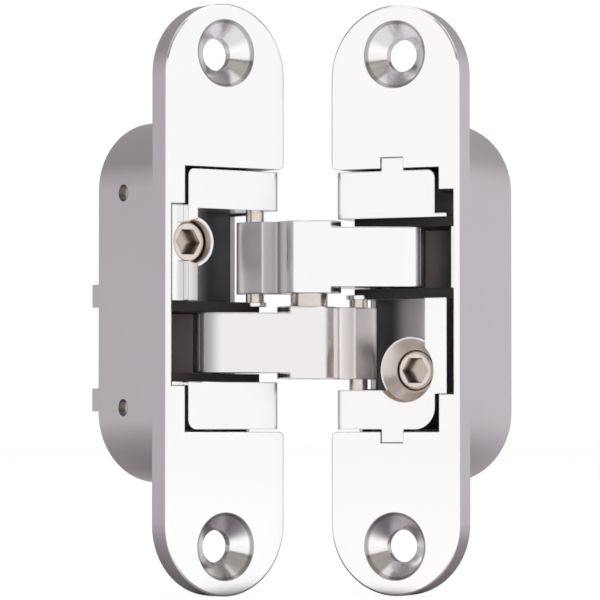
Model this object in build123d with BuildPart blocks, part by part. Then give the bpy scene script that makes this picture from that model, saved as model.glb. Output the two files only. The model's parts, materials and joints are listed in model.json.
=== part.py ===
"""Concealed door hinge: two mortised leaves joined by a pair of crossed arms.

Each leaf is a cast housing with a carrier block inside it. An arm turns on a pivot pin in one
carrier, crosses the other arm on a shared centre pin, and runs by its tail pin in slotted plastic
guides in the far carrier. The frame leaf adjusts sideways with an eccentric screw and the door leaf
adjusts in depth with a lead screw.

Leaf coordinates, in millimetres: x across the plate towards the other leaf, y into the mortise,
z up, with the origin at the centre of the plate's face. The model's own frame is the frame leaf's.
The door leaf is the frame leaf turned half a turn about the horizontal line that bisects the two.
"""

import os
from math import asin, cos, degrees, radians, sin

from build123d import *

# Plates and housings
plate_height = 95.0
plate_width = 23.0
plate_thickness = 4.0
plate_edge_chamfer = 0.25
box_height = 59.0
box_depth = 16.7
box_back_chamfer = 0.9
side_wall = 1.0
back_wall = 1.4
strip_width = 3.6
mouth_height = 42.4
mouth_corner_round = 1.2
frame_mouth_step = 0.7
door_mouth_step = 4.4
mouth_clearance = 0.2
window_clearance = 1.5
window_depth = 14.2

# Mounting screw holes
screw_hole_height = 39.55
screw_hole_radius = 2.65
countersink_radius = 5.4
countersink_angle = 90.0

# Lugs on the back of the frame housing
upper_lug_height = 0.9
lower_lug_height = -16.0
lug_length = 3.7
lug_width = 1.8
lug_reach = 2.4

# Arm linkage, as plan lengths and angles
pivot_inset = 2.7
pivot_depth = 4.5
pivot_link_length = 10.0
tail_link_length = 16.5
tail_shut_angle = 74.0
tail_turn_ratio = 0.55
heel_link_length = 15.8
heel_lead_angle = 36.8
shut_gap = 4.0
full_opening_angle = 180.0
rest_opening_angle = 116.5

# Arms
arm_gap = 2.2
arm_height = 11.6
tail_step_height = 1.0
tail_step_radius = 5.2
knuckle_radius = 3.0
hub_radius = 4.2
tail_radius = 2.0
heel_radius = 3.0
seat_relief_gap = 0.3
seat_relief_round = 0.5

# Pins, bushes and fits
pivot_pin_radius = 1.5
pivot_pin_seat_depth = 4.2
center_pin_radius = 2.0
center_pin_recess = 0.5
tail_pin_radius = 1.2
guide_pin_radius = 1.3
guide_pin_inset = 3.5
guide_pin_depth = 12.5
guide_pin_recess = 0.65
guide_pin_inner_recess = 0.15
spacer_radius = 3.0
bush_wall = 0.5
running_fit = 0.04
press_fit = 0.005
slide_fit = 0.1
end_play = 0.05

# Carriers
block_end_gap = 0.4
block_front = 0.3
nose_setback = 0.6
nose_depth = 8.2
nose_round = 1.2
frame_pivot_block_round = 1.0
frame_tail_block_round = 1.6
door_pivot_block_round = 3.6
door_tail_block_round = 1.3
carrier_side_gap = 0.5
frame_column_front = 1.9
door_column_front = 0.3
column_wall = 1.1
frame_back_gap = 0.4
pivot_block_gap = 1.8
tail_block_gap = 0.5
web_gap = 0.15
web_thickness = 0.7
swing_pocket_wall = 3.9
swing_pocket_depth = 12.0
swing_pocket_round = 10.0
tail_end_gap = 0.3
tail_pocket_round = 3.3
pin_lug_radius = 1.9

# Plastic tail guides
guide_front_gap = 0.5
lip_thickness = 0.6
tail_side_gap = 0.15
guide_edge_gap = 0.05

# Frame adjusting screw, an eccentric
frame_travel = 0.8
frame_turn_angle = 45.0
frame_screw_inset = 3.9
frame_screw_height = 9.2
frame_boss_radius = 4.1
frame_head_radius = 3.3
frame_head_depth = 3.2
frame_head_height = 2.6
frame_shank_radius = 2.2
peg_radius = 1.2

# Door adjusting screw, a lead screw
door_travel = 1.0
door_screw_inset = 7.5
door_screw_height = 11.3
door_head_radius = 3.1
door_head_depth = 4.2
door_head_height = 2.6
door_shank_radius = 2.0
seat_boss_radius = 5.4
seat_rim_radius = 5.1
seat_rim_depth = 2.6
nut_boss_radius = 3.5
nut_boss_length = 3.0
tab_width = 3.9
tab_offset = 0.55
tab_reach = 2.1
tab_depth = 3.1

# Screw details shared by both adjusters
hex_width = 4.0
hex_depth = 2.0
head_chamfer = 0.35
head_gap = 0.2
collar_thickness = 0.8
collar_radius = 3.2
collar_gap = 0.4

# Levels and places that follow from the sizes
half_width = plate_width / 2
housing_depth = plate_thickness + box_depth
cavity_depth = housing_depth - back_wall
mouth_depth = nose_depth + door_travel + mouth_clearance
arm_bottom = arm_gap / 2
arm_top = arm_bottom + arm_height
web_bottom = web_gap - arm_bottom
web_top = web_bottom + web_thickness
pivot_block_bottom = arm_top + pivot_block_gap
tail_block_top = -arm_top - tail_block_gap
tail_top = -arm_bottom - tail_step_height
tail_bottom = tail_step_height - arm_top
block_half_height = mouth_height / 2 - block_end_gap
block_outer = strip_width - half_width + frame_travel + slide_fit
block_nose = half_width - nose_setback
block_back_x = half_width - side_wall - carrier_side_gap - frame_travel - slide_fit
column_outer = -block_back_x
column_top = pivot_block_bottom + frame_mouth_step - slide_fit
column_bottom = tail_block_top - frame_mouth_step + slide_fit
tail_pocket_outer = column_outer + column_wall
swing_pocket_outer = column_outer + swing_pocket_wall
frame_carrier_back = cavity_depth - frame_back_gap
door_carrier_back = cavity_depth - door_travel - slide_fit
guide_pin_height = block_half_height - guide_pin_inset
guide_front = tail_step_radius - shut_gap / 2 + guide_front_gap
guide_back_lip = guide_front + lip_thickness
frame_screw_place = (column_outer + frame_screw_inset, frame_screw_height)
door_screw_place = (column_outer + door_screw_inset, door_screw_height)
seat_relief_x = door_screw_place[0] + seat_boss_radius + seat_relief_gap
seat_relief_depth = seat_rim_depth - seat_relief_gap
eccentricity = frame_travel / sin(radians(frame_turn_angle))
pivot = Vector(half_width - pivot_inset, pivot_depth)
pivot_shut_angle = degrees(asin((shut_gap / 2 + pivot_depth) / pivot_link_length)) - 180


def polar(length, angle):
    """A plan vector from its length and its angle in degrees."""
    return Vector(length * cos(radians(angle)), length * sin(radians(angle)))


def center_at(opening):
    """Where the centre pin stands in leaf coordinates when the leaves are open by that angle."""
    swing = opening / (1 + tail_turn_ratio)
    return pivot + polar(pivot_link_length, pivot_shut_angle + swing)


def tail_at(opening):
    """Where the far arm's tail pin stands in leaf coordinates at that opening."""
    swing = opening / (1 + tail_turn_ratio)
    return center_at(opening) + polar(tail_link_length, tail_shut_angle + tail_turn_ratio * swing)


center = center_at(rest_opening_angle)
tail = tail_at(rest_opening_angle)
tail_line = (tail - center) * (heel_link_length / tail_link_length)
heel = center + tail_line.rotate(Axis.Z, heel_lead_angle)
tail_path = [tail_at(step * full_opening_angle / 36) for step in range(37)]
slot_x_low = min(point.X for point in tail_path)
slot_x_high = max(point.X for point in tail_path)
slot_y_low = min(point.Y for point in tail_path)
slot_y_high = max(point.Y for point in tail_path)
tail_pocket_depth = slot_y_high + tail_radius + tail_end_gap

# The bisecting line runs through the centre pin, and the door leaf is the half turn about it.
bisector = polar(1, rest_opening_angle / 2)


def half_turned(point):
    """The plan point that the half turn about the bisector brings this one to."""
    offset = point - center
    return center + bisector * (2 * offset.dot(bisector)) - offset


frame_leaf = Plane.XY.location
door_leaf = Plane(
    origin=half_turned(Vector(0, 0)), x_dir=polar(1, rest_opening_angle), z_dir=(0, 0, -1)
).location


def level(leaf, height):
    """A leaf's plan at a height, where sketches read x and depth."""
    return Plane(leaf * Plane.XY.offset(height).location)


def shut_level(leaf, height):
    """A leaf's plan at a height as its own arm would carry it along from the shut hinge to rest."""
    turned = Pos(pivot) * Rot(0, 0, rest_opening_angle / (1 + tail_turn_ratio)) * Pos(-pivot)
    return Plane(leaf * turned * Plane.XY.offset(height).location)


def face(leaf, depth):
    """A leaf's elevation at a depth, where sketches read x and height and -amount goes deeper."""
    return Plane(leaf * Plane.XZ.offset(-depth).location)


def side(leaf, across):
    """A leaf's cross-section at a place across it, where sketches read depth and height."""
    return Plane(leaf * Plane.YZ.offset(across).location)


def leaf_axis(leaf, direction):
    """The axis through a leaf's origin along one of its own directions."""
    return Axis(leaf.position, (leaf * Pos(*direction)).position - leaf.position)


def span(low_x, high_x, low_y, high_y, mode=Mode.ADD):
    """A sketch rectangle from its limits."""
    with Locations((low_x, low_y)):
        Rectangle(high_x - low_x, high_y - low_y, align=(Align.MIN, Align.MIN), mode=mode)


def housing_blank(leaf, tail_mouth_step):
    """Cast plate and box with its stepped cavity, open inner edge and countersunk screw holes."""
    inner = half_width - side_wall
    wide_top = pivot_block_bottom + frame_mouth_step
    wide_bottom = tail_block_top - tail_mouth_step
    window_top = arm_top + window_clearance
    with BuildPart() as blank:
        depth_axis = leaf_axis(leaf, (0, 1, 0))
        with BuildSketch(face(leaf, 0)):
            SlotOverall(box_height, plate_width, rotation=90)
        extrude(amount=-housing_depth)
        chamfer(blank.faces().sort_by(depth_axis)[-1].edges(), box_back_chamfer)
        with BuildSketch(face(leaf, 0)):
            SlotOverall(plate_height, plate_width, rotation=90)
        extrude(amount=-plate_thickness)
        chamfer(blank.faces().sort_by(depth_axis)[0].edges(), plate_edge_chamfer)
        with BuildSketch(face(leaf, 0)):
            span(strip_width - half_width, inner, -mouth_height / 2, mouth_height / 2)
            span(side_wall - half_width, inner, wide_bottom, wide_top)
        extrude(amount=-cavity_depth, mode=Mode.SUBTRACT)
        with BuildSketch(face(leaf, 0)):
            corner_x = half_width - mouth_corner_round
            corner_z = mouth_height / 2 + mouth_corner_round
            span(corner_x, plate_width, -corner_z, corner_z)
            with Locations((corner_x, corner_z), (corner_x, -corner_z)):
                Circle(mouth_corner_round, mode=Mode.SUBTRACT)
            span(0, plate_width, -mouth_height / 2, mouth_height / 2)
        extrude(amount=-mouth_depth, mode=Mode.SUBTRACT)
        with BuildSketch(face(leaf, 0)):
            span(0, plate_width, -window_top, window_top)
        extrude(amount=-window_depth, mode=Mode.SUBTRACT)
        with Locations(face(leaf, 0)):
            with Locations((0, screw_hole_height), (0, -screw_hole_height)):
                CounterSinkHole(
                    screw_hole_radius, countersink_radius, plate_thickness, countersink_angle
                )
    return blank.part


def carrier_blank(leaf, back, column_front, pivot_block_round, tail_block_round):
    """Cast carrier: two end blocks, the arm's swing pocket, the tail pocket and the web between."""
    with BuildPart() as blank:
        with BuildSketch(face(leaf, block_front)) as outline:
            span(block_outer, block_nose, -block_half_height, block_half_height)
            fillet(outline.vertices().group_by(Axis.X)[0].sort_by(Axis.Y)[-1], pivot_block_round)
            fillet(outline.vertices().group_by(Axis.X)[0].sort_by(Axis.Y)[0], tail_block_round)
            span(column_outer, 0, column_bottom, column_top)
        extrude(amount=block_front - back)
        with BuildSketch(level(leaf, -block_half_height)) as plan:
            span(block_outer, block_nose, block_front, nose_depth)
            fillet(plan.vertices().group_by(Axis.Y)[0].sort_by(Axis.X)[-1], nose_round)
            span(block_outer, block_back_x, block_front + nose_round, back)
            span(column_outer, block_outer, column_front, back)
        extrude(amount=2 * block_half_height, mode=Mode.INTERSECT)
        with BuildSketch(level(leaf, web_top)) as swing_pocket:
            span(swing_pocket_outer, plate_width, -plate_width, swing_pocket_depth)
            fillet(swing_pocket.vertices().group_by(Axis.X)[0].sort_by(Axis.Y)[-1], swing_pocket_round)
        extrude(amount=pivot_block_bottom - web_top, mode=Mode.SUBTRACT)
        with BuildSketch(level(leaf, tail_block_top)) as tail_pocket:
            span(tail_pocket_outer, plate_width, -plate_width, tail_pocket_depth)
            fillet(tail_pocket.vertices().group_by(Axis.X)[0].sort_by(Axis.Y)[-1], tail_pocket_round)
        extrude(amount=web_bottom - tail_block_top, mode=Mode.SUBTRACT)
        with BuildSketch(level(leaf, tail_block_top)):
            span(-plate_width, plate_width, -plate_width, guide_back_lip)
        extrude(amount=web_top - tail_block_top, mode=Mode.SUBTRACT)
        with BuildSketch(level(leaf, web_bottom)):
            with Locations(pivot):
                Circle(pin_lug_radius)
        extrude(amount=web_thickness)
        with BuildSketch(level(leaf, web_bottom)):
            with Locations(pivot):
                Circle(pivot_pin_radius + press_fit)
        extrude(amount=pivot_block_bottom + pivot_pin_seat_depth - web_bottom, mode=Mode.SUBTRACT)
    return blank.part


def arm(leaf):
    """Cast arm: knuckle, hub and a heeled tail that is stepped down to run between the guides.

    Its link is cut back where it comes to lie over the door screw's seat as the hinge shuts.
    """
    far_tail = half_turned(tail)
    far_heel = half_turned(heel)
    with BuildPart() as blank:
        with BuildSketch(level(leaf, arm_bottom)):
            with Locations(pivot):
                Circle(knuckle_radius)
            with Locations(center):
                Circle(hub_radius)
            make_hull()
        extrude(amount=arm_height)
        with BuildSketch(shut_level(leaf, arm_bottom)) as relief:
            span(-plate_width, seat_relief_x, seat_relief_depth, plate_width)
            fillet(relief.vertices().group_by(Axis.X)[-1].sort_by(Axis.Y)[0], seat_relief_round)
        extrude(amount=arm_height, mode=Mode.SUBTRACT)
        with BuildSketch(level(leaf, arm_bottom)):
            with Locations(center):
                Circle(hub_radius)
            with Locations(far_heel):
                Circle(heel_radius)
            with Locations(far_tail):
                Circle(tail_radius)
            make_hull()
            with Locations(center):
                Circle(tail_step_radius, mode=Mode.INTERSECT)
        extrude(amount=arm_height)
        with BuildSketch(level(leaf, arm_bottom + tail_step_height)):
            with Locations(center):
                Circle(hub_radius)
            with Locations(far_heel):
                Circle(heel_radius)
            with Locations(far_tail):
                Circle(tail_radius)
            make_hull()
        extrude(amount=arm_height - 2 * tail_step_height)
        with BuildSketch(level(leaf, arm_bottom)):
            with Locations(pivot):
                Circle(pivot_pin_radius + running_fit + bush_wall + press_fit)
            with Locations(center):
                Circle(center_pin_radius + running_fit + bush_wall + press_fit)
            with Locations(far_tail):
                Circle(tail_pin_radius + press_fit)
        extrude(amount=arm_height, mode=Mode.SUBTRACT)
    return blank.part


def sleeve(leaf, place, bore, wall, bottom, height):
    """A plain upright bush, spacer or washer around a plan point."""
    with BuildPart() as blank:
        with BuildSketch(level(leaf, bottom)):
            with Locations(place):
                Circle(bore + wall)
                Circle(bore, mode=Mode.SUBTRACT)
        extrude(amount=height)
    return blank.part


def upright_pin(leaf, place, radius, bottom, top):
    """A plain upright pin at a plan point."""
    with BuildPart() as blank:
        with BuildSketch(level(leaf, bottom)):
            with Locations(place):
                Circle(radius)
        extrude(amount=top - bottom)
    return blank.part


def tail_guide(leaf, bottom, top, lip_top):
    """Slotted plastic guide for a tail pin, with a front lip up to its own level."""
    low_x = tail_pocket_outer + guide_edge_gap
    high_y = tail_pocket_depth - guide_edge_gap
    slot_width = slot_x_high - slot_x_low + 2 * (tail_pin_radius + slide_fit)
    with BuildPart() as blank:
        with BuildSketch(level(leaf, bottom)) as plan:
            span(low_x, block_back_x, guide_front, high_y)
            fillet(plan.vertices().group_by(Axis.X)[0].sort_by(Axis.Y)[-1], tail_pocket_round)
            with Locations(((slot_x_low + slot_x_high) / 2, (slot_y_low + slot_y_high) / 2)):
                SlotCenterToCenter(
                    slot_y_high - slot_y_low, slot_width, rotation=90, mode=Mode.SUBTRACT
                )
        extrude(amount=top - bottom)
        with BuildSketch(level(leaf, bottom)):
            lip_end = pivot.X - pin_lug_radius - guide_edge_gap
            span(column_outer, lip_end, guide_front, guide_back_lip - guide_edge_gap)
        extrude(amount=lip_top - bottom)
    return blank.part


def screw_blank(leaf, place, head_radius, head_front, head_height, shank_radius, collar_front):
    """Socket screw along a leaf's depth, with a hexagon socket and a collar riveted on behind."""
    seat = head_front + head_height
    with BuildPart() as blank:
        with BuildSketch(face(leaf, head_front)):
            with Locations(place):
                Circle(head_radius)
        extrude(amount=-head_height)
        rim = blank.faces().sort_by(leaf_axis(leaf, (0, 1, 0)))[0]
        chamfer(rim.edges(), head_chamfer)
        with BuildSketch(face(leaf, seat)):
            with Locations(place):
                Circle(shank_radius)
        extrude(amount=seat - collar_front)
        with BuildSketch(face(leaf, collar_front)):
            with Locations(place):
                Circle(collar_radius)
        extrude(amount=-collar_thickness)
        with BuildSketch(face(leaf, head_front)):
            with Locations(place):
                RegularPolygon(hex_width / 2, 6, major_radius=False)
        extrude(amount=-hex_depth, mode=Mode.SUBTRACT)
    return blank.part


# Frame housing: bores for the cross pins, a slot for the eccentric peg and two back lugs
with BuildPart() as frame_housing:
    add(housing_blank(frame_leaf, frame_mouth_step))
    with BuildSketch(side(frame_leaf, -half_width)):
        with Locations((guide_pin_depth, guide_pin_height), (guide_pin_depth, -guide_pin_height)):
            Circle(guide_pin_radius + press_fit)
    extrude(amount=plate_width, mode=Mode.SUBTRACT)
    with BuildSketch(face(frame_leaf, cavity_depth)):
        with Locations(frame_screw_place):
            SlotCenterToCenter(2 * eccentricity, 2 * (peg_radius + slide_fit), rotation=90)
    extrude(amount=-back_wall, mode=Mode.SUBTRACT)
    with BuildSketch(face(frame_leaf, cavity_depth)):
        lug_x = lug_width - half_width
        with Locations((lug_x, upper_lug_height), (lug_x, lower_lug_height)):
            Rectangle(lug_width, lug_length)
    extrude(amount=-(back_wall + lug_reach))
frame_housing.part.label = "frame_housing"

# Frame carrier: bores for the cross pins, the screw's boss, its counterbore and the collar's recess
frame_seat = frame_head_depth + frame_head_height
frame_collar_front = frame_carrier_back - 2 * collar_thickness
with BuildPart() as frame_carrier:
    add(
        carrier_blank(
            frame_leaf,
            frame_carrier_back,
            frame_column_front,
            frame_pivot_block_round,
            frame_tail_block_round,
        )
    )
    with BuildSketch(face(frame_leaf, frame_column_front)):
        with Locations(frame_screw_place):
            Circle(frame_boss_radius)
        span(column_outer, plate_width, -plate_height, plate_height, Mode.INTERSECT)
    extrude(amount=frame_column_front - swing_pocket_depth)
    with BuildSketch(face(frame_leaf, 0)):
        with Locations(frame_screw_place):
            Circle(frame_head_radius + head_gap)
    extrude(amount=-frame_seat, mode=Mode.SUBTRACT)
    with BuildSketch(face(frame_leaf, 0)):
        with Locations(frame_screw_place):
            Circle(frame_shank_radius + running_fit)
    extrude(amount=-frame_carrier_back, mode=Mode.SUBTRACT)
    with BuildSketch(face(frame_leaf, frame_collar_front - end_play)):
        with Locations(frame_screw_place):
            Circle(collar_radius + collar_gap)
    extrude(amount=-housing_depth, mode=Mode.SUBTRACT)
    with BuildSketch(side(frame_leaf, -half_width)):
        with Locations((guide_pin_depth, guide_pin_height), (guide_pin_depth, -guide_pin_height)):
            Circle(guide_pin_radius + running_fit)
    extrude(amount=plate_width, mode=Mode.SUBTRACT)
frame_carrier.part.label = "frame_carrier"

# Frame screw: a peg on its collar stands off its axis
peg_front = frame_collar_front + collar_thickness
with BuildPart() as frame_adjust_screw:
    add(
        screw_blank(
            frame_leaf,
            frame_screw_place,
            frame_head_radius,
            frame_head_depth,
            frame_head_height,
            frame_shank_radius,
            frame_collar_front,
        )
    )
    with BuildSketch(face(frame_leaf, peg_front)):
        with Locations((frame_screw_place[0], frame_screw_place[1] + eccentricity)):
            Circle(peg_radius)
    extrude(amount=peg_front - housing_depth + slide_fit)
frame_adjust_screw.part.label = "frame_adjust_screw"

# Cross pins that the frame carrier slides on
with BuildPart() as frame_guide_pin_upper:
    with BuildSketch(side(frame_leaf, guide_pin_recess - half_width)):
        with Locations((guide_pin_depth, guide_pin_height)):
            Circle(guide_pin_radius)
    extrude(amount=plate_width - guide_pin_recess - guide_pin_inner_recess)
frame_guide_pin_upper.part.label = "frame_guide_pin_upper"

with BuildPart() as frame_guide_pin_lower:
    add(mirror(frame_guide_pin_upper.part, about=Plane.XY, mode=Mode.PRIVATE))
frame_guide_pin_lower.part.label = "frame_guide_pin_lower"

# Door housing: notches for the carrier's tabs and a nut boss inside its back wall
with BuildPart() as door_housing:
    add(housing_blank(door_leaf, door_mouth_step))
    with BuildSketch(face(door_leaf, 0)):
        with Locations((tab_offset, 0)):
            Rectangle(tab_width + 2 * slide_fit, 2 * (block_half_height + tab_reach + slide_fit))
    extrude(amount=-(block_front + tab_depth + door_travel + slide_fit), mode=Mode.SUBTRACT)
    with BuildSketch(face(door_leaf, cavity_depth)):
        with Locations(door_screw_place):
            Circle(nut_boss_radius)
    extrude(amount=nut_boss_length)
    with BuildSketch(face(door_leaf, 0)):
        with Locations(door_screw_place):
            Circle(door_shank_radius + running_fit)
    extrude(amount=-housing_depth, mode=Mode.SUBTRACT)
door_housing.part.label = "door_housing"

# Door carrier: guide tabs, the screw's conical seat and clearance around the nut boss
door_seat = door_head_depth + door_head_height
boss_front = cavity_depth - nut_boss_length
door_collar_front = boss_front - door_travel - slide_fit - collar_thickness
with BuildPart() as door_carrier:
    add(
        carrier_blank(
            door_leaf,
            door_carrier_back,
            door_column_front,
            door_pivot_block_round,
            door_tail_block_round,
        )
    )
    with BuildSketch(face(door_leaf, block_front)):
        with Locations((tab_offset, 0)):
            Rectangle(tab_width, 2 * (block_half_height + tab_reach))
            Rectangle(tab_width, 2 * (block_half_height - tab_reach), mode=Mode.SUBTRACT)
    extrude(amount=-tab_depth)
    with BuildSketch(face(door_leaf, seat_rim_depth)):
        with Locations(door_screw_place):
            Circle(seat_boss_radius)
    extrude(amount=seat_rim_depth - swing_pocket_depth)
    with Locations(face(door_leaf, seat_rim_depth)):
        with Locations(door_screw_place):
            CounterSinkHole(
                door_head_radius + head_gap,
                seat_rim_radius,
                door_seat - seat_rim_depth,
                countersink_angle,
            )
    with BuildSketch(face(door_leaf, 0)):
        with Locations(door_screw_place):
            Circle(door_shank_radius + running_fit)
    extrude(amount=-housing_depth, mode=Mode.SUBTRACT)
    with BuildSketch(face(door_leaf, door_collar_front - end_play)):
        with Locations(door_screw_place):
            Circle(nut_boss_radius + 2 * slide_fit)
    extrude(amount=-housing_depth, mode=Mode.SUBTRACT)
door_carrier.part.label = "door_carrier"

# Door screw: its shank goes on behind the collar into the nut boss
with BuildPart() as door_adjust_screw:
    add(
        screw_blank(
            door_leaf,
            door_screw_place,
            door_head_radius,
            door_head_depth,
            door_head_height,
            door_shank_radius,
            door_collar_front,
        )
    )
    with BuildSketch(face(door_leaf, door_collar_front)):
        with Locations(door_screw_place):
            Circle(door_shank_radius)
    extrude(amount=door_collar_front - housing_depth + door_travel + slide_fit)
door_adjust_screw.part.label = "door_adjust_screw"

pieces = [
    frame_housing.part,
    frame_guide_pin_upper.part,
    frame_guide_pin_lower.part,
    frame_carrier.part,
    frame_adjust_screw.part,
    door_housing.part,
    door_carrier.part,
    door_adjust_screw.part,
]

# What both leaves carry alike: an arm with its bushes and tail pin, a pivot pin and two guides
pivot_bore = pivot_pin_radius + running_fit
center_bore = center_pin_radius + running_fit
slot_floor = tail_block_top + slide_fit
slot_roof = web_bottom - slide_fit
for leaf, leaf_name, arm_name in (
    (frame_leaf, "frame", "upper_arm"),
    (door_leaf, "door", "lower_arm"),
):
    far_leaf = door_leaf if leaf is frame_leaf else frame_leaf
    upper_name, lower_name = ("upper", "lower") if leaf is frame_leaf else ("lower", "upper")
    alike = {
        arm_name: arm(leaf),
        f"{arm_name}_pivot_bush": sleeve(
            leaf, pivot, pivot_bore, bush_wall, arm_bottom, arm_height
        ),
        f"{arm_name}_center_bush": sleeve(
            leaf, center, center_bore, bush_wall, arm_bottom, arm_height
        ),
        f"{arm_name}_tail_pin": upright_pin(far_leaf, tail, tail_pin_radius, slot_floor, slot_roof),
        f"{leaf_name}_pivot_pin": upright_pin(
            leaf, pivot, pivot_pin_radius, web_bottom, pivot_block_bottom + pivot_pin_seat_depth
        ),
        f"{leaf_name}_guide_{upper_name}": tail_guide(
            leaf, tail_top + tail_side_gap, web_bottom, web_top
        ),
        f"{leaf_name}_guide_{lower_name}": tail_guide(
            leaf, tail_block_top, tail_bottom - tail_side_gap, tail_bottom - tail_side_gap
        ),
    }
    for name, piece in alike.items():
        piece.label = name
        pieces.append(piece)

# Centre pin and the spacer that keeps the arms apart
center_pin = upright_pin(
    frame_leaf, center, center_pin_radius, center_pin_recess - arm_top, arm_top - center_pin_recess
)
center_pin.label = "center_pin"
center_spacer = sleeve(
    frame_leaf,
    center,
    center_bore,
    spacer_radius - center_bore,
    end_play - arm_bottom,
    arm_gap - 2 * end_play,
)
center_spacer.label = "center_spacer"
pieces += [center_pin, center_spacer]

os.makedirs("parts", exist_ok=True)
for piece in pieces:
    export_step(piece, f"parts/{piece.label}.step")
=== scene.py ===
"""Studio picture of a concealed door hinge that stands open on a white table.

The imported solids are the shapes. Here they get their metal and plastic finishes, the light, the floor and
the camera. All places are in metres in the frame leaf's coordinates: X across its plate, Y into its mortise,
Z up. Colours are linear red, green and blue, and a pair of them is the dark and the light end of a finish.
"""

import json
import math

import bpy
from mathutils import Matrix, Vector


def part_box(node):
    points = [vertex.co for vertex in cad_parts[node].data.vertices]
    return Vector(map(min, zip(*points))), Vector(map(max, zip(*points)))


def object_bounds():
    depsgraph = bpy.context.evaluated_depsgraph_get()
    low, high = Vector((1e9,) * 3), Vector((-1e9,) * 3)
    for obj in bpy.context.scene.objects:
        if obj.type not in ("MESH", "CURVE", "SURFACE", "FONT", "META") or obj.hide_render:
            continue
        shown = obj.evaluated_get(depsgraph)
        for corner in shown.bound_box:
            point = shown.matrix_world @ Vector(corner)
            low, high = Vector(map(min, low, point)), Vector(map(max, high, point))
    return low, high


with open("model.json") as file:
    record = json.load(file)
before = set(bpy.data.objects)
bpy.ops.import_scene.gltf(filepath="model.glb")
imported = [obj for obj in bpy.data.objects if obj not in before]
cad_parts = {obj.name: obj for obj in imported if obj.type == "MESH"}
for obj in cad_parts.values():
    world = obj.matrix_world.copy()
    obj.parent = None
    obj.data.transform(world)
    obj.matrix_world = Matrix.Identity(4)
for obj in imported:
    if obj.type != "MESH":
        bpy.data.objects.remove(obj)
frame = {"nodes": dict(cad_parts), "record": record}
cad_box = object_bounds()
record = frame["record"]
nodes = frame["nodes"]

mounts = {mount["name"]: mount for mount in record["mounts"]}
joints = {joint["name"]: joint for joint in record["behaviour"]["joints"]}

# Places from the frame: a leaf is its origin and its directions across the plate and into the mortise
MILLIMETRE = 0.001
frame_screws, door_screws = mounts["frame_screws"], mounts["door_screws"]
hole_height = frame_screws["dims"]["spacing_y_mm"] * MILLIMETRE / 2
screw_depth = frame_screws["pos_m"][1]
door_out = door_screws["axis"]
door_origin = [spot + way * screw_depth for spot, way in zip(door_screws["pos_m"], door_out)]
frame_leaf = ((0.0, 0.0), (1.0, 0.0), (0.0, 1.0))
door_leaf = (door_origin[:2], (door_out[1], -door_out[0]), (-door_out[0], -door_out[1]))
frame_pivot = joints["fold"]["pos_m"]
door_pivot = joints["door_fold"]["pos_m"]
center_pos = joints["center_fold"]["pos_m"]
pin_low, pin_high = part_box("frame_guide_pin_upper")
pin_depth = (pin_low[1] + pin_high[1]) / 2
pin_height = (pin_low[2] + pin_high[2]) / 2
pin_radius = (pin_high[2] - pin_low[2]) / 2


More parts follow.
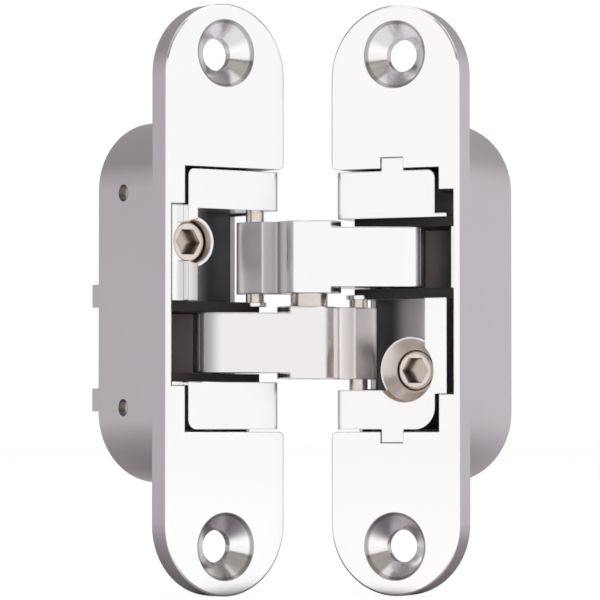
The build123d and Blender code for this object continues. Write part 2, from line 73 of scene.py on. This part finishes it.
class Wire:
    """A socket of a node tree that takes part in plain arithmetic, each operation adding one Math node."""

    EDGE_SAMPLES = 6
    MIX_DARK, MIX_LIGHT, MIX_COLOR_OUT = 6, 7, 2

    def __init__(self, tree, socket):
        self.tree = tree
        self.socket = socket

    def node(self, kind, sockets, out=0, **settings):
        """Adds a node of any kind: settings first, then values or wires on its named or numbered sockets."""
        made = self.tree.nodes.new(kind)
        for name, value in settings.items():
            setattr(made, name, value)
        for key, value in sockets.items():
            self.feed(made.inputs[key], value)
        return Wire(self.tree, made.outputs[out])

    def feed(self, socket, value):
        """Links a wire to a socket or sets a plain value on it."""
        if isinstance(value, Wire):
            self.tree.links.new(value.socket, socket)
        else:
            socket.default_value = value

    def compute(self, operation, *values):
        return self.node("ShaderNodeMath", dict(enumerate(values)), operation=operation)

    def __add__(self, other):
        return self.compute("ADD", self, other)

    def __radd__(self, other):
        return self.compute("ADD", other, self)

    def __sub__(self, other):
        return self.compute("SUBTRACT", self, other)

    def __rsub__(self, other):
        return self.compute("SUBTRACT", other, self)

    def __mul__(self, other):
        return self.compute("MULTIPLY", self, other)

    def __rmul__(self, other):
        return self.compute("MULTIPLY", other, self)

    def __truediv__(self, other):
        return self.compute("DIVIDE", self, other)

    def __rtruediv__(self, other):
        return self.compute("DIVIDE", other, self)

    def __lt__(self, other):
        return self.compute("LESS_THAN", self, other)

    def __gt__(self, other):
        return self.compute("GREATER_THAN", self, other)

    def high(self, other):
        return self.compute("MAXIMUM", self, other)

    def low(self, other):
        return self.compute("MINIMUM", self, other)

    def size(self):
        return self.compute("ABSOLUTE", self)

    def root(self):
        return self.compute("SQRT", self)

    def hypot(self, other):
        """The distance that this value and another make at right angles."""
        return (self * self + other * other).root()

    def wave(self, pitch):
        """A sine wave from -1 to 1 that repeats at each pitch."""
        return self.compute("SINE", self * (2 * math.pi / pitch))

    def ramp(self, start, end):
        """Goes smoothly from 0 at start to 1 at end."""
        return self.node("ShaderNodeMapRange", {0: self, 1: start, 2: end}, interpolation_type="SMOOTHSTEP")

    def between(self, start, end):
        """A value from start to end, by this value from 0 to 1."""
        return start + (end - start) * self

    def split(self):
        """The three parts of a vector."""
        parts = self.node("ShaderNodeSeparateXYZ", {0: self}).socket.node
        return tuple(Wire(self.tree, socket) for socket in parts.outputs)

    def noise(self, scale, detail=3.0, stretch=(1.0, 1.0, 1.0)):
        """Cloudy noise from 0 to 1 over this vector, squeezed along the axes by stretch."""
        spread = self.node("ShaderNodeMapping", {"Vector": self, "Scale": stretch})
        return self.node("ShaderNodeTexNoise", {"Vector": spread, "Scale": scale, "Detail": detail})

    def tint(self, dark, light):
        """A colour between two colours or coloured wires, by this value from 0 to 1."""
        ends = [end if isinstance(end, Wire) else (*end, 1.0) for end in (dark, light)]
        sockets = {0: self, self.MIX_DARK: ends[0], self.MIX_LIGHT: ends[1]}
        return self.node("ShaderNodeMix", sockets, out=self.MIX_COLOR_OUT, data_type="RGBA")

    def bump(self, strength, distance, edge_radius):
        """A normal that treats this value as a height and softens the solid's edges."""
        edge = self.node("ShaderNodeBevel", {"Radius": edge_radius}, samples=self.EDGE_SAMPLES)
        sockets = {"Strength": strength, "Distance": distance, "Height": self, "Normal": edge}
        return self.node("ShaderNodeBump", sockets)


def finish_of(name, metallic=0.0):
    """A new material with its shader, and the place on the object as a wire."""
    made = bpy.data.materials.new(name)
    made.use_nodes = True
    tree = made.node_tree
    shader = tree.nodes["Principled BSDF"]
    shader.inputs["Metallic"].default_value = metallic
    place = Wire(tree, tree.nodes.new("ShaderNodeTexCoord").outputs["Object"])
    return made, shader, place


def coat(shader, color, roughness, normal):
    """Feeds a finish's three wires to its shader."""
    for socket, wire in (("Base Color", color), ("Roughness", roughness), ("Normal", normal)):
        wire.feed(shader.inputs[socket], wire)


def clouded(cloud, tint, share):
    """A tint that goes down to a share of itself where the cloud is thin."""
    return cloud.tint(tuple(share * part for part in tint), tint)


def leaf_place(place, origin, across, into):
    """A point in a leaf's own x, depth and height, from the leaf's origin and its two plan directions."""
    x, y, z = place.split()
    east, north = x - origin[0], y - origin[1]
    return east * across[0] + north * across[1], east * into[0] + north * into[1], z


def screw_spot(joint, leaf):
    """Where a screw's axis stands in a leaf's own x and in height."""
    origin, across, _ = leaf
    x, y, z = joints[joint]["pos_m"]
    return (x - origin[0]) * across[0] + (y - origin[1]) * across[1], z


# Plated castings
COOL_PLATING = (0.955, 0.953, 0.955)
WARM_PLATING = (0.965, 0.945, 0.945)
POLISH_SCALE = 1600.0
POLISH_STRETCH = (1.0, 1.0, 0.25)

# Housings
PLATE_DEPTH = 0.004
FACE_SKIN = 0.0002
COUNTERSINK_REACH = 0.0055
COUNTERSINK_RIM = (0.0048, 0.0051)
COUNTERSINK_FLANK = (0.30, 0.60)
COUNTERSINK_RINGS = 0.0003
# Painted shade for the countersinks: greyer flanks above and below the hole and a grey rim
FLANK_PAINTED_SHADE = (0.72, 0.70, 0.73)
RIM_PAINTED_SHADE = (0.42, 0.41, 0.42)
SIDE_SATIN = ((0.79, 0.755, 0.80), (0.90, 0.86, 0.91))
BORE_MARGIN = 0.0001
BORE_SHADE = (0.20, 0.175, 0.165)
HOUSING_EDGE = 0.00025


def housing_finish(name, leaf, face_tint, bore_radius):
    """Plated casting: a bright face, turned countersinks, and satin sides with a fine blasted grain.

    A countersink has painted shade above and below its hole and on its rim, in place of darker reflections.
    The guide pins' bores get painted shade up to bore_radius from their axes.
    """
    made, shader, place = finish_of(name, metallic=1.0)
    x, depth, z = leaf_place(place, *leaf)
    rise = z.size() - hole_height
    hole = x.hypot(rise)
    sunk = (hole < COUNTERSINK_REACH) * (depth < PLATE_DEPTH - FACE_SKIN)
    face = ((depth < FACE_SKIN) + sunk).low(1.0)
    # Painted shade: the guide pins' bores are darkened up to bore_radius, as shade in a recess
    bore = (depth - pin_depth).hypot(z.size() - pin_height) < bore_radius
    grain = place.noise(scale=7000.0, detail=2.0)
    cloud = place.noise(scale=60.0)
    fine = place.noise(scale=700.0)
    satin = (cloud * 0.6 + grain * 0.4).tint(*SIDE_SATIN)
    # Painted shade: the countersinks' flanks and rims are greyed in the colour to stand in for darker
    # reflections
    flank = sunk * (rise.size() / hole).ramp(*COUNTERSINK_FLANK)
    rim = sunk * hole.ramp(*COUNTERSINK_RIM)
    bright = rim.tint(flank.tint(clouded(cloud, face_tint, share=0.975), FLANK_PAINTED_SHADE), RIM_PAINTED_SHADE)
    color = bore.tint(face.tint(satin, bright), BORE_SHADE)
    rough = 0.34 + grain * 0.10 + fine * 0.04
    gloss = 0.07 + fine * 0.06 + sunk * 0.08
    rings = hole.wave(COUNTERSINK_RINGS) * sunk
    height = grain * (1.0 - face) + fine * 0.10 + rings * 0.2
    normal = height.bump(strength=0.10, distance=0.00002, edge_radius=HOUSING_EDGE)
    coat(shader, color, face.between(rough, gloss), normal)
    return made


# Arms, with lengths along the link from its pivot
SATIN_FADE = 0.0009
UPPER_SATIN_END = 0.0062
LOWER_SATIN_END = 0.0043
KNUCKLE_SATIN = ((0.90, 0.87, 0.87), (0.99, 0.96, 0.96))
CHEEK_START = (0.0031, 0.0036)
# Painted shade where the link leaves the knuckle, for darker reflections there
UPPER_CHEEK_PAINTED_SHADE = (0.54, 0.51, 0.52)
LOWER_CHEEK_PAINTED_SHADE = (0.66, 0.61, 0.60)
HEEL_START = (0.0240, 0.0265)
HEEL_END = (0.0269, 0.0265)
LOWER_HEEL_PAINTED_SHADE = (0.35, 0.34, 0.34)
LOWER_PLATING = (0.88, 0.85, 0.855)
ARM_EDGE = 0.0004


def arm_finish(name, tint, pivot, satin_end, cheek_painted_shade, heel_painted_shade):
    """Polished, slightly wavy plating, satin on the knuckle, with painted shade where the link leaves it.

    The satin fades out at satin_end, and the heel at the tail's end has a painted shade of its own.
    """
    made, shader, place = finish_of(name, metallic=1.0)
    x, y, _ = place.split()
    link = (Vector(center_pos) - Vector(pivot)).normalized()
    along = (x - pivot[0]) * link.x + (y - pivot[1]) * link.y
    dull = 1.0 - along.ramp(satin_end - SATIN_FADE, satin_end + SATIN_FADE)
    cheek = along.ramp(*CHEEK_START)
    heel = along.ramp(*HEEL_START) * along.ramp(*HEEL_END)
    cloud = place.noise(scale=90.0)
    fine = place.noise(scale=POLISH_SCALE, stretch=POLISH_STRETCH)
    # Painted shade: the heel darkens towards the tail's end, as shade on a rounded heel; the upper arm keeps
    # its plating
    polished = heel.tint(clouded(cloud, tint, share=0.965), heel_painted_shade)
    # Painted shade: the cheek greys where the link leaves the knuckle
    satin = cheek.tint(cloud.tint(*KNUCKLE_SATIN), cheek_painted_shade)
    rough = 0.10 + fine * 0.06 + dull * 0.28
    height = cloud * 1.5 + fine * 0.1
    normal = height.bump(strength=0.04, distance=0.0001, edge_radius=ARM_EDGE)
    coat(shader, dull.tint(polished, satin), rough, normal)
    return made


# Carriers, with places in the leaf's own x, depth and height
POCKET_DEPTH = (0.0045, 0.0115)
POCKET_FADE = 0.0053
POCKET_PAINTED_SHADE = ((0.05, 0.05, 0.055), (0.16, 0.16, 0.17))
POCKET_LIGHT = (0.97, 0.94, 0.97)
FRAME_POCKET_DARK_X = 0.0050
DOOR_POCKET_DARK_X = 0.0068
TAIL_POCKET_DEPTH = (0.0135, 0.0150)
TAIL_POCKET_FADE = (-0.0030, 0.0015)
TAIL_POCKET_PAINTED_SHADE = ((0.35, 0.33, 0.33), (0.98, 0.92, 0.91))
COLUMN_X = -0.0044
COLUMN_HALF_HEIGHT = 0.0134
COLUMN_TOP = 0.009
COLUMN_FADE = (-0.0085, -0.0045)
COLUMN_PAINTED_SHADE = (0.50, 0.48, 0.49)
SEAT_DEPTH = 0.0075
SEAT_RINGS = 0.00025
SEAT_STEEL = ((0.62, 0.57, 0.53), (0.86, 0.80, 0.75))
FRAME_SEAT_RADIUS = 0.0037
DOOR_SEAT_RADIUS = 0.0052
CARRIER_EDGE = 0.0003


def carrier_finish(name, leaf, tint, column_shade_tint, dark_x, screw, seat_radius):
    """Plating that is polished on the end blocks and rougher in the pockets, with a turned seat at the screw.

    Painted shade darkens the arm's pocket towards the open side up to dark_x, and the tail's deeper pocket
    towards the closed side. The column on the closed side goes over to column_shade_tint towards the pocket,
    as painted shade.
    """
    made, shader, place = finish_of(name, metallic=1.0)
    x, depth, z = leaf_place(place, *leaf)
    inside = depth.ramp(*POCKET_DEPTH)
    deep = depth.ramp(*TAIL_POCKET_DEPTH)
    column = (x < COLUMN_X) * (z.size() < COLUMN_HALF_HEIGHT) * (z < COLUMN_TOP)
    radius = (x - screw[0]).hypot(z - screw[1])
    seat = (radius < seat_radius) * (depth < SEAT_DEPTH)
    rings = radius.wave(SEAT_RINGS) * 0.5 + 0.5
    cloud = place.noise(scale=120.0)
    fine = place.noise(scale=POLISH_SCALE, stretch=POLISH_STRETCH)
    # Painted shade: the arm's pocket darkens towards the open side
    arm_pocket_painted_shade = x.ramp(dark_x, dark_x - POCKET_FADE).tint(cloud.tint(*POCKET_PAINTED_SHADE), POCKET_LIGHT)
    # Painted shade: the tail's deep pocket darkens towards the closed side
    tail_pocket_painted_shade = x.ramp(*TAIL_POCKET_FADE).tint(*TAIL_POCKET_PAINTED_SHADE)
    # The pockets' colour, chosen by depth, is painted shade
    pocket = deep.tint(arm_pocket_painted_shade, tail_pocket_painted_shade)
    # Painted shade: the frame's column greys towards its pocket; the door's keeps its plating
    column_painted_shade = x.ramp(*COLUMN_FADE).tint(tint, column_shade_tint)
    polished = column.tint(clouded(cloud, tint, share=0.965), column_painted_shade)
    steel = (cloud * 0.6 + rings * 0.4).tint(*SEAT_STEEL)
    color = seat.tint(inside.tint(polished, pocket), steel)
    rough = 0.12 + fine * 0.07 + inside * 0.22 + deep * 0.45
    ringed = 0.28 + rings * 0.08
    height = cloud + fine * 0.1 + rings * seat * 0.4
    normal = height.bump(strength=0.05, distance=0.0001, edge_radius=CARRIER_EDGE)
    coat(shader, color, seat.between(rough, ringed), normal)
    return made


# Turned pins, bushes and screws
NICKEL = ((0.60, 0.54, 0.49), (0.86, 0.80, 0.74))
BRIGHT_NICKEL = ((0.86, 0.80, 0.74), (0.97, 0.92, 0.86))
TURNED_RINGS = 0.00022
SOCKET_RADIUS = 0.0024
SOCKET_DEPTH = (0.0002, 0.0012)
SOCKET_FLOOR_SHARE = 0.72
SOCKET_WALL_SHARE = 0.84
SOCKET_FLOOR_PAINTED_SHADE = (0.52, 0.46, 0.39)
SOCKET_WALL_PAINTED_SHADE = (0.15, 0.12, 0.10)
TURNED_EDGE = 0.00015


def turned_finish(name, axis_point, axis, nickel, socket_radius=0.0):
    """Turned steel: fine rings about an axis, a warm clouded colour, and painted shade in an axial socket."""
    made, shader, place = finish_of(name, metallic=1.0)
    x, y, z = place.split()
    east, north, up = x - axis_point[0], y - axis_point[1], z - axis_point[2]
    along = east * axis[0] + north * axis[1] + up * axis[2]
    radius = (east * east + north * north + up * up - along * along).high(0.0).root()
    rings = (radius + along).wave(TURNED_RINGS) * 0.5 + 0.5
    cloud = place.noise(scale=400.0)
    # Painted shade in the hex socket: a darker floor and darkest walls, as in a recess
    socket = (radius < socket_radius) * along.size().ramp(*SOCKET_DEPTH)
    wall = radius.ramp(SOCKET_FLOOR_SHARE * socket_radius, SOCKET_WALL_SHARE * socket_radius)
    color = socket.tint(cloud.tint(*nickel), wall.tint(SOCKET_FLOOR_PAINTED_SHADE, SOCKET_WALL_PAINTED_SHADE))
    rough = 0.10 + rings * 0.06 + cloud * 0.08
    normal = rings.bump(strength=0.10, distance=0.00001, edge_radius=TURNED_EDGE)
    coat(shader, color, rough, normal)
    return made


# Plastic guides
BLACK_PLASTIC = ((0.016, 0.014, 0.014), (0.032, 0.028, 0.027))
PLASTIC_EDGE = 0.00015


def plastic_finish(name):
    """Moulded black plastic with a fine grain and a dull bloom."""
    made, shader, place = finish_of(name)
    shader.inputs["Specular IOR Level"].default_value = 0.4
    grain = place.noise(scale=5000.0, detail=2.0)
    bloom = place.noise(scale=250.0)
    rough = 0.42 + grain * 0.12 + bloom * 0.10
    normal = grain.bump(strength=0.15, distance=0.00002, edge_radius=PLASTIC_EDGE)
    coat(shader, bloom.tint(*BLACK_PLASTIC), rough, normal)
    return made


def dress(material, *pieces):
    """Gives nodes' objects one material."""
    for piece in pieces:
        slots = nodes[piece].data.materials
        slots.clear()
        slots.append(material)


def dress_castings():
    """Finishes for the housings, the carriers and the arms."""
    bore_radius = pin_radius + BORE_MARGIN
    dress(housing_finish("frame_plating", frame_leaf, COOL_PLATING, bore_radius), "frame_housing")
    dress(housing_finish("door_plating", door_leaf, WARM_PLATING, 0.0), "door_housing")
    frame_chrome = carrier_finish(
        "frame_carrier_chrome",
        frame_leaf,
        COOL_PLATING,
        COLUMN_PAINTED_SHADE,
        FRAME_POCKET_DARK_X,
        screw_spot("frame_screw_turn", frame_leaf),
        FRAME_SEAT_RADIUS,
    )
    dress(frame_chrome, "frame_carrier")
    door_chrome = carrier_finish(
        "door_carrier_chrome",
        door_leaf,
        WARM_PLATING,
        WARM_PLATING,
        DOOR_POCKET_DARK_X,
        screw_spot("door_screw_turn", door_leaf),
        DOOR_SEAT_RADIUS,
    )
    dress(door_chrome, "door_carrier")
    upper_chrome = arm_finish(
        "upper_arm_chrome", COOL_PLATING, frame_pivot, UPPER_SATIN_END, UPPER_CHEEK_PAINTED_SHADE, COOL_PLATING
    )
    dress(upper_chrome, "upper_arm")
    lower_chrome = arm_finish(
        "lower_arm_chrome", LOWER_PLATING, door_pivot, LOWER_SATIN_END, LOWER_CHEEK_PAINTED_SHADE, LOWER_HEEL_PAINTED_SHADE
    )
    dress(lower_chrome, "lower_arm")


def dress_turned():
    """Finishes for what is turned about the pivots, for the screws, and for the pins that have no joint."""
    upright = (0.0, 0.0, 1.0)
    about_pivots = {
        ("frame_pivot_pin", "upper_arm_pivot_bush"): frame_pivot,
        ("door_pivot_pin", "lower_arm_pivot_bush"): door_pivot,
        ("center_pin", "center_spacer", "upper_arm_center_bush", "lower_arm_center_bush"): center_pos,
    }
    for pieces, pivot in about_pivots.items():
        dress(turned_finish(f"{pieces[0]}_steel", pivot, upright, NICKEL), *pieces)
    for leaf_name in ("frame", "door"):
        screw = f"{leaf_name}_adjust_screw"
        turn = joints[f"{leaf_name}_screw_turn"]
        dress(turned_finish(f"{screw}_steel", turn["pos_m"], turn["axis"], NICKEL, SOCKET_RADIUS), screw)
    loose_pins = {
        "upper_arm_tail_pin": upright,
        "lower_arm_tail_pin": upright,
        "frame_guide_pin_upper": (1.0, 0.0, 0.0),
        "frame_guide_pin_lower": (1.0, 0.0, 0.0),
    }
    for pin, axis in loose_pins.items():
        low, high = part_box(pin)
        middle = [(start + end) / 2 for start, end in zip(low, high)]
        dress(turned_finish(f"{pin}_steel", middle, axis, BRIGHT_NICKEL), pin)


dress_castings()
dress_turned()
dress(
    plastic_finish("black_plastic"),
    *(f"{leaf_name}_guide_{level}" for leaf_name in ("frame", "door") for level in ("upper", "lower")),
)


def seen_of(tree, mirrored):
    """1 for rays from the camera or through glass, mirrored for rays off a mirror, and 0 for other rays."""
    path = tree.nodes.new("ShaderNodeLightPath")
    kinds = ("Is Camera Ray", "Is Glossy Ray", "Is Transmission Ray")
    camera_ray, glossy_ray, through_ray = [Wire(tree, path.outputs[kind]) for kind in kinds]
    return camera_ray.high(through_ray).high(glossy_ray * mirrored)


# Camera: a little below the plates' middle, tilted up to it and looking into the angle between the leaves
CAMERA_PLACE = (-0.34431, -0.50141, -0.02)
CAMERA_YAW = math.radians(35.593)
CAMERA_PITCH = math.radians(1.875)
FOCAL_PIXELS = 3800.0
FRAME_PIXELS = 600.0
SENSOR_WIDTH = 36.0
to_camera = Vector((CAMERA_PLACE[0], CAMERA_PLACE[1], 0.0)).normalized()


def place_camera():
    """The camera of the photograph's view."""
    camera_data = bpy.data.cameras.new("camera")
    camera_data.sensor_width = SENSOR_WIDTH
    camera_data.lens = SENSOR_WIDTH * FOCAL_PIXELS / FRAME_PIXELS
    camera_data.clip_start = 0.01
    camera_data.clip_end = 50.0
    camera = bpy.data.objects.new("camera", camera_data)
    camera.location = CAMERA_PLACE
    camera.rotation_euler = (math.radians(90.0) + CAMERA_PITCH, 0.0, -CAMERA_YAW)
    bpy.context.collection.objects.link(camera)
    bpy.context.scene.camera = camera


# Studio, with directions as parts of a vector of length 1
PANEL_SIDE = (-0.35, 0.32)
PANEL_TOP = (0.31, 0.37)
PANEL_FRAME_TOP = (0.42, 0.50)
PANEL_FRAME_SHADE = 0.6
STUDIO_GREY = 0.465
STUDIO_SLOPE = 0.136
BEHIND = (-0.35, -0.55)
BEHIND_TOP = (0.1, 0.55)
BEHIND_TOP_SHADE = 0.45
CEILING = (0.3, 0.5)
WHITE = (1.0, 1.0, 1.0)
CEILING_TAN = (1.0, 0.95, 0.87)


def surround():
    """A world that is white to the camera, and for mirrors and light a grey studio that brightens along X.

    A white panel stands in front. A darker band runs all round above it and below it. The ceiling is tan,
    except behind, where the upper part is a darker grey.
    """
    world = bpy.data.worlds.new("studio")
    bpy.context.scene.world = world
    world.use_nodes = True
    tree = world.node_tree
    tree.nodes.clear()
    way = Wire(tree, tree.nodes.new("ShaderNodeTexCoord").outputs["Generated"])
    x, y, z = way.split()
    forward = x * to_camera.x + y * to_camera.y
    front = forward.ramp(*PANEL_SIDE)
    behind = forward.ramp(*BEHIND)
    past_panel = z.size().ramp(*PANEL_TOP)
    panel_frame = past_panel * (1.0 - z.size().ramp(*PANEL_FRAME_TOP))
    grey = (STUDIO_GREY + x * STUDIO_SLOPE) * (1.0 - behind * z.ramp(*BEHIND_TOP) * BEHIND_TOP_SHADE)
    studio = grey * (1.0 - panel_frame * PANEL_FRAME_SHADE) + (1.0 - grey) * front * (1.0 - past_panel)
    seen = seen_of(tree, 0.0)
    color = (z.ramp(*CEILING) * (1.0 - seen) * (1.0 - behind)).tint(WHITE, CEILING_TAN)
    backing = way.node("ShaderNodeBackground", {"Color": color, "Strength": seen.between(studio, 1.0)})
    out = tree.nodes.new("ShaderNodeOutputWorld")
    tree.links.new(backing.socket, out.inputs["Surface"])


# Table, with distances from the frame leaf's origin towards the camera
TABLE_HALF = 4.0
TABLE_GLOW = 1.28
TABLE_GLOW_SHARE = 0.7
TABLE_FRONT = (0.0, 0.02)
TABLE_BACK = (-0.03, -0.07)
TABLE_BACK_SHARE = 0.45
TABLE_GREY = (0.36, 0.335, 0.36)
TABLE_PAPER = ((0.74, 0.74, 0.74), (0.76, 0.76, 0.76))


def floor_under(low):
    """A wide white table top at the hinge's lowest point, partly lit by itself where it is seen.

    Mirrors see it so in front of the hinge, about half so behind it, and underneath as a grey top that only
    the lamps and the world light.
    """
    half = TABLE_HALF
    corners = [(-half, -half, low), (half, -half, low), (half, half, low), (-half, half, low)]
    mesh = bpy.data.meshes.new("table")
    mesh.from_pydata(corners, [], [(0, 1, 2, 3)])
    table = bpy.data.objects.new("table", mesh)
    bpy.context.collection.objects.link(table)
    made, shader, place = finish_of("table_white")
    shader.inputs["Roughness"].default_value = 0.9
    shader.inputs["Specular IOR Level"].default_value = 0.0
    tree = place.tree
    x, y, _ = place.split()
    forward = x * to_camera.x + y * to_camera.y
    seen = seen_of(tree, forward.ramp(*TABLE_FRONT).high(forward.ramp(*TABLE_BACK) * TABLE_BACK_SHARE))
    paper = place.noise(scale=3.0, detail=2.0).tint(*TABLE_PAPER)
    place.feed(shader.inputs["Base Color"], seen.tint(TABLE_GREY, paper))
    glow = place.node("ShaderNodeEmission", {"Color": (*WHITE, 1.0), "Strength": TABLE_GLOW})
    lit = Wire(tree, shader.outputs[0])
    both = place.node("ShaderNodeMixShader", {0: seen * TABLE_GLOW_SHARE, 1: lit, 2: glow})
    place.feed(tree.nodes["Material Output"].inputs["Surface"], both)
    mesh.materials.append(made)


def light_from(name, direction, distance, size, power):
    """A square soft lamp that looks at the hinge from a direction."""
    lamp = bpy.data.lights.new(name, "AREA")
    lamp.shape = "SQUARE"
    lamp.size = size
    lamp.energy = power
    holder = bpy.data.objects.new(name, lamp)
    away = Vector(direction).normalized()
    holder.location = away * distance
    holder.rotation_mode = "QUATERNION"
    holder.rotation_quaternion = away.to_track_quat("Z", "Y")
    bpy.context.collection.objects.link(holder)


place_camera()
surround()
light_from("key", direction=(0.55, -0.75, 1.0), distance=1.2, size=0.8, power=2.5)
light_from("fill", direction=(-1.0, -0.15, 1.1), distance=1.2, size=0.8, power=1.1)
light_from("top", direction=(0.0, 0.1, 1.0), distance=1.4, size=1.2, power=3.0)
floor_under(cad_box[0][2])
bpy.context.scene.view_settings.view_transform = "Standard"
